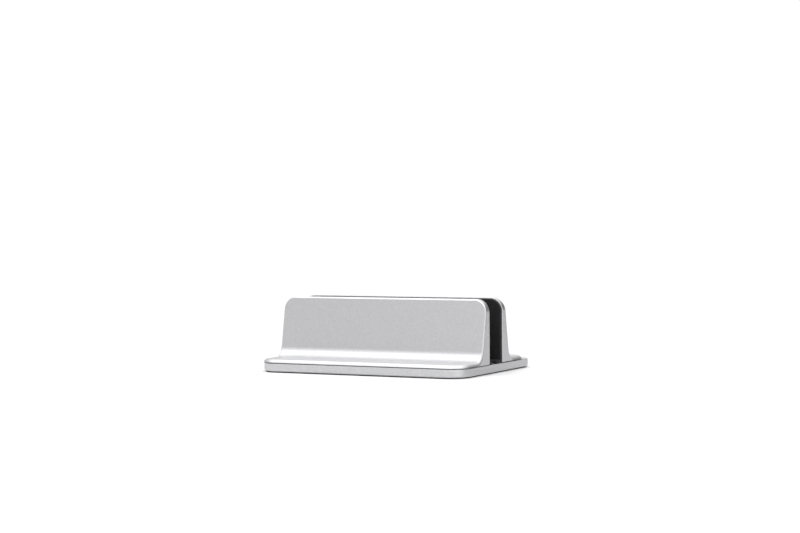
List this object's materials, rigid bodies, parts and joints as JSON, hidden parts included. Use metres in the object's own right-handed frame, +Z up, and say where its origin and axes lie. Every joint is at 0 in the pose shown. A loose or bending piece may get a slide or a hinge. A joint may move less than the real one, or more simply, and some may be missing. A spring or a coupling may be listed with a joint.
{
  "type": "vertical laptop stand",
  "caption": "Free-standing aluminium cradle that holds a closed laptop upright between two lined L-shaped jaws on a rounded base plate; the rear jaw slides and is clamped from below.",
  "frame": {"origin": "centre of the underside of the mat, on the surface that the stand rests on", "axes": "+X along the slot, to the right seen from the front; +Y from the front (fixed) jaw to the rear (sliding) jaw; +Z up"},
  "size_m": [0.149, 0.1156, 0.0484],
  "materials": {
    "plate_aluminium": "bead-blasted and clear anodised, satin",
    "jaw_aluminium": "bead-blasted and clear anodised, satin, edges polished",
    "liner_silicone": "matt black silicone",
    "mat_silicone": "matt black silicone",
    "adhesive_film": "grey acrylic adhesive film",
    "screw_steel": "stainless, turned",
    "pin_steel": "ground stainless",
    "acetal": "white acetal, turned",
    "insert_brass": "turned brass",
    "slide_plastic": "white low-friction plastic"
  },
  "bodies": {
    "base": {"base_plate": "plate_aluminium", "base_mat": "mat_silicone", "mat_film_sheet": "adhesive_film", "front_jaw": "jaw_aluminium", "front_liner": "liner_silicone", "front_liner_film": "adhesive_film", "front_screw_left": "screw_steel", "front_screw_centre": "screw_steel", "front_screw_right": "screw_steel", "front_dowel_left": "pin_steel", "front_dowel_right": "pin_steel", "slide_strip_left": "slide_plastic", "slide_strip_right": "slide_plastic"},
    "sliding_jaw": {"rear_jaw": "jaw_aluminium", "rear_liner": "liner_silicone", "rear_liner_film": "adhesive_film", "clamp_washer_left": "screw_steel", "clamp_washer_right": "screw_steel", "guide_bush_left": "acetal", "guide_bush_right": "acetal", "thread_insert_left": "insert_brass", "thread_insert_right": "insert_brass"},
    "left_clamp": {"clamp_screw_left": "screw_steel"},
    "right_clamp": {"clamp_screw_right": "screw_steel"}
  },
  "joints": [
    {"name": "rear_jaw_slide", "type": "slide", "parent": "base", "child": "sliding_jaw", "axis": [0, -1, 0], "range_m": [-0.0112, 0.007]},
    {"name": "clamp_screw_left_turn", "type": "hinge", "parent": "sliding_jaw", "child": "left_clamp", "pos_m": [-0.048, 0.0098, 0], "axis": [0, 0, 1], "continuous": true},
    {"name": "clamp_screw_right_turn", "type": "hinge", "parent": "sliding_jaw", "child": "right_clamp", "pos_m": [0.048, 0.0098, 0], "axis": [0, 0, 1], "continuous": true}
  ]
}
